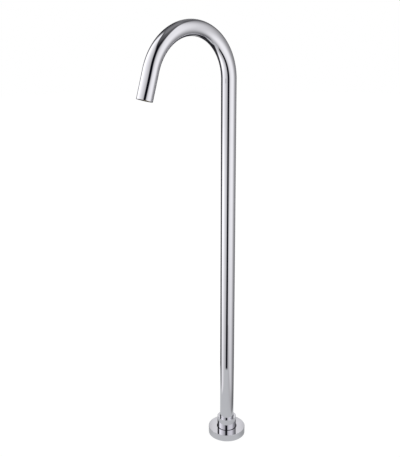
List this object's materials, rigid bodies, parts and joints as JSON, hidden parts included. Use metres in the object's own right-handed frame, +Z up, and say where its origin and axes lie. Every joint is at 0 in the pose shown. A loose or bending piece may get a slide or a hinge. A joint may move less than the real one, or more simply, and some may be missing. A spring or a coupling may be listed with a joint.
{
  "type": "freestanding tub spout",
  "caption": "Floor-standing gooseneck bath spout: a bent round tube that turns in a short collar, over a round lift-up cover plate.",
  "frame": {"origin": "on the floor, on the axis of the column, which is the centre of the circle of floor screw holes", "axes": "+Z up along the column; the spout reaches towards -Y; the part is symmetric about the YZ plane"},
  "size_m": [0.094, 0.3072, 1.0445],
  "materials": {
    "chrome": "polished",
    "brass": "satin",
    "steel": "satin",
    "rubber": "matte",
    "white_plastic": "matte",
    "grey_plastic": "matte"
  },
  "bodies": {
    "base": {"base_gasket": "rubber", "mounting_plate": "steel", "inlet_spigot": "brass", "lock_washer": "steel", "spigot_nut": "brass", "spigot_o_rings": "rubber", "thrust_washer": "white_plastic", "collar": "chrome", "collar_grub_screws": "steel", "collar_bearing": "white_plastic", "collar_seal_ring": "rubber"},
    "column": {"spout_tube": "chrome", "column_bush": "brass", "outlet_insert": "brass"},
    "cover": {"cover_flange": "chrome", "cover_grip_ring": "rubber"},
    "aerator_core": {"aerator_washer": "rubber", "aerator_screen": "steel", "aerator_diffuser": "white_plastic", "aerator_honeycomb": "grey_plastic"},
    "aerator_ring": {"aerator_housing": "grey_plastic"}
  },
  "joints": [
    {"name": "column_swivel", "type": "hinge", "parent": "base", "child": "column", "pos_m": [0, 0, 0.0165], "axis": [0, 0, 1], "continuous": true},
    {"name": "cover_lift", "type": "slide", "parent": "base", "child": "cover", "axis": [0, 0, 1], "range_m": [0, 0.89]},
    {"name": "aerator_out", "type": "slide", "parent": "column", "child": "aerator_core", "axis": [0, -0.3007, -0.9537], "range_m": [0, 0.008]},
    {"name": "aerator_turn", "type": "hinge", "parent": "aerator_core", "child": "aerator_ring", "pos_m": [0, -0.24362, 0.8865], "axis": [0, -0.3007, -0.9537], "range_deg": [0, 2880]}
  ],
  "couplings": [
    {"joint": "aerator_out", "follows": "aerator_turn", "m_per_rad": 0.00015915}
  ]
}
